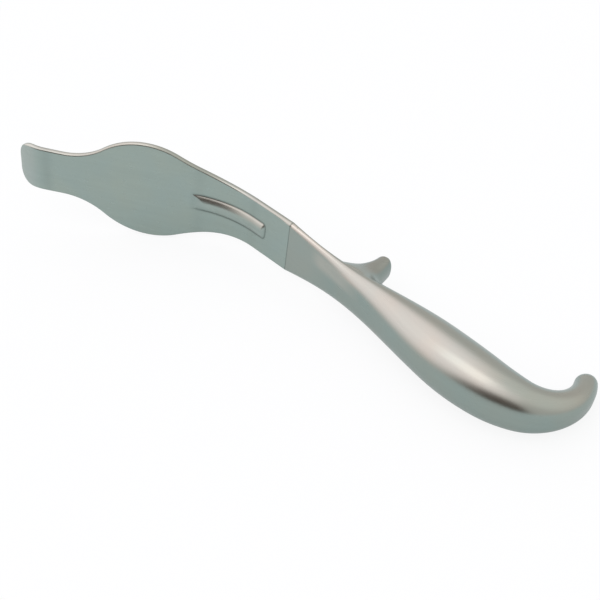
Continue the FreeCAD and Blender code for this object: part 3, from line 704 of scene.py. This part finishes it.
def joinLug(body, part):
    # grip and lug are one closed mesh, in which each point keeps the grain of the nearest one before
    sliver = 0.02  # mm, shorter edges along the cut are merged away
    spots, grain = [], []
    for piece in (body, part):
        spots += [v.co.copy() for v in piece.data.vertices]
        grain.append(np.stack([[v.value for v in piece.data.attributes[word].data]
                               for word in grainWords], 1))
    grain = np.concatenate(grain)
    near = KDTree(len(spots))
    for k, spot in enumerate(spots):
        near.insert(spot, k)
    near.balance()
    union = body.modifiers.new("union", "BOOLEAN")
    union.operation, union.solver, union.object = "UNION", "EXACT", part
    bpy.context.view_layer.update()
    mesh = bpy.data.meshes.new_from_object(body.evaluated_get(bpy.context.evaluated_depsgraph_get()))
    body.modifiers.clear()
    clean = bmesh.new()
    clean.from_mesh(mesh)
    bmesh.ops.remove_doubles(clean, verts=clean.verts, dist=sliver)
    bmesh.ops.dissolve_degenerate(clean, edges=clean.edges, dist=sliver)
    clean.to_mesh(mesh)
    clean.free()
    body.data = mesh
    mesh.name = body.name
    chosen = grain[[near.find(v.co)[1] for v in mesh.vertices]]
    for word, column in zip(grainWords, chosen.T):
        mesh.attributes[word].data.foreach_set("value", np.ascontiguousarray(column, np.float32))
    mesh.materials.clear()
    mesh.materials.append(gripSteel)
    mesh.shade_smooth()
    bpy.data.objects.remove(part)


gripPiece = makeGrip()
bendPiece(gripPiece, gripBends, 1, gripSteel)
joinLug(gripPiece, makeLug())
print("grip bent,", len(gripPiece.data.polygons), "faces")

for piece, nodes, steel in ((bladePiece, ("blade",), "blade_steel"),
                            (gripPiece, ("handle_shell_upper", "handle_shell_lower"), "handle_steel")):
    piece.data.transform(laidMatrix)
    piece.data.update()
    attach(piece, "root")
    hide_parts(*nodes)
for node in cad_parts.values():
    node.data.materials.clear()
    node.data.materials.append(bladeSteel if node.name == "blade" else gripSteel)
print("pieces laid down")


# floor

floorLook = {
    "half": 3.0,  # metres
    "colour": "c8dde3",
    "evenSeen": 0.88, "evenMirrored": 0.5,  # how much of it is even white, to the eye and in the steel
    "mirroredLight": 0.84,
}


def makeFloor():
    half = floorLook["half"]
    floor = makeObject("floor", [(-half, -half, 0), (half, -half, 0), (half, half, 0), (-half, half, 0)],
                       [(0, 1, 2, 3)])
    # matt painted board: even white over a shaded one that keeps the shadow
    material = newMaterial("pale_floor")
    tree = material.node_tree
    path = addNode(tree, "ShaderNodeLightPath")
    mirrored = addNode(tree, "ShaderNodeMath", {"operation": "MAXIMUM"},
                       {0: path.outputs["Is Glossy Ray"], 1: path.outputs["Is Transmission Ray"]})
    mirrored = addNode(tree, "ShaderNodeMath", {"operation": "MULTIPLY", 1: floorLook["evenMirrored"]},
                       {0: mirrored.outputs[0]})
    seen = addNode(tree, "ShaderNodeMath", {"operation": "MULTIPLY", 1: floorLook["evenSeen"]},
                   {0: path.outputs["Is Camera Ray"]})
    even = addNode(tree, "ShaderNodeMath", {"operation": "MAXIMUM"},
                   {0: seen.outputs[0], 1: mirrored.outputs[0]})
    matt = addNode(tree, "ShaderNodeBsdfDiffuse", {"Color": fromHex(floorLook["colour"])})
    light = addNode(tree, "ShaderNodeMapRange", {"To Min": floorLook["mirroredLight"]},
                    {"Value": path.outputs["Is Camera Ray"]})
    white = addNode(tree, "ShaderNodeEmission", {"Color": (1, 1, 1, 1)}, {"Strength": light.outputs[0]})
    mix = addNode(tree, "ShaderNodeMixShader", {},
                  {0: even.outputs[0], 1: matt.outputs[0], 2: white.outputs[0]})
    addNode(tree, "ShaderNodeOutputMaterial", {}, {"Surface": mix.outputs[0]})
    floor.data.materials.append(material)


# light

skyLook = {
    # a warm pale room, lighter high on the blade's side, dark low in front, with a fill at the grip's end
    "room": (1.02, 0.85, 0.82),
    "zones": {
        # degrees round and up; the colour comes in between the two cosines of the angle from there
        "bright": {"colour": (2.3, 1.76, 1.78), "azimuth": -165, "height": 58, "from": 0.40, "to": 0.86},
        "dark": {"colour": (0.10, 0.055, 0.04), "azimuth": -86, "height": 6, "from": 0.79, "to": 0.94},
        "fill": {"colour": (1.35, 1.15, 1.10), "azimuth": 20, "height": 50, "from": 0.60, "to": 0.95},
    },
}
softTop = {
    "place": (-0.21, -0.36, 1.02),  # metres
    "aim": (0, 0, 0.02),
    "size": (0.6, 0.6),
    "power": 1.0,
    "colour": "fff0ea",
}


def makeSky():
    world = bpy.data.worlds.new("studio")
    bpy.context.scene.world = world
    world.use_nodes = True
    tree = world.node_tree
    tree.nodes.clear()
    look = addNode(tree, "ShaderNodeTexCoord")
    colour = None
    for zone in skyLook["zones"].values():
        azimuth, height = math.radians(zone["azimuth"]), math.radians(zone["height"])
        level = math.cos(height)
        middle = (level * math.cos(azimuth), level * math.sin(azimuth), math.sin(height))
        near = addNode(tree, "ShaderNodeVectorMath", {"operation": "DOT_PRODUCT", 1: middle},
                       {0: look.outputs["Generated"]})
        share = addNode(tree, "ShaderNodeMapRange",
                        {"interpolation_type": "SMOOTHSTEP",
                         "From Min": zone["from"], "From Max": zone["to"]},
                        {"Value": near.outputs["Value"]})
        mix = addNode(tree, "ShaderNodeMix", {"data_type": "RGBA"}, {"Factor": share.outputs[0]})
        mix.inputs[7].default_value = zone["colour"] + (1,)
        if colour is None:
            mix.inputs[6].default_value = skyLook["room"] + (1,)
        else:
            tree.links.new(colour, mix.inputs[6])
        colour = mix.outputs[2]
    glow = addNode(tree, "ShaderNodeBackground", {"Strength": 1.0}, {"Color": colour})
    addNode(tree, "ShaderNodeOutputWorld", {}, {"Surface": glow.outputs[0]})


def addLamp(name, look):
    light = bpy.data.lights.new(name, "AREA")
    light.shape = "RECTANGLE"
    light.size, light.size_y = look["size"]
    light.energy = look["power"]
    light.color = fromHex(look["colour"])[:3]
    lamp = bpy.data.objects.new(name, light)
    lamp.location = look["place"]
    beam = Vector(look["aim"]) - Vector(look["place"])
    lamp.rotation_euler = beam.to_track_quat("-Z", "Y").to_euler()
    bpy.context.scene.collection.objects.link(lamp)


# camera

cameraView = {
    # mm from the joint, before the part is laid down
    "place": Vector((138.62, -273.47, 238.43)),
    "aim": Vector((7.82, -0.44, -23.0)),
    "up": Vector((-0.4064, 0.5228, 0.7493)),
    "lens": 60.0,
}


def makeCamera():
    turn = laid["turn"]
    forward = (turn @ (cameraView["aim"] - cameraView["place"])).normalized()
    up = turn @ cameraView["up"]
    right = forward.cross(up).normalized()
    up = right.cross(forward)
    matrix = Matrix((right, up, -forward)).transposed().to_4x4()
    matrix.translation = (turn @ cameraView["place"] + laid["shift"]) / 1000
    data = bpy.data.cameras.new("camera")
    data.lens = cameraView["lens"]
    data.sensor_width = 36
    data.sensor_fit = "HORIZONTAL"
    data.clip_start = 0.01
    camera = bpy.data.objects.new("camera", data)
    camera.matrix_world = matrix
    bpy.context.scene.collection.objects.link(camera)
    bpy.context.scene.camera = camera
    print("camera at", [round(v, 4) for v in matrix.translation],
          "looking along", [round(v, 3) for v in forward])


makeFloor()
makeSky()
addLamp("softTop", softTop)
makeCamera()
bpy.context.scene.view_settings.view_transform = "Standard"
print("studio set")
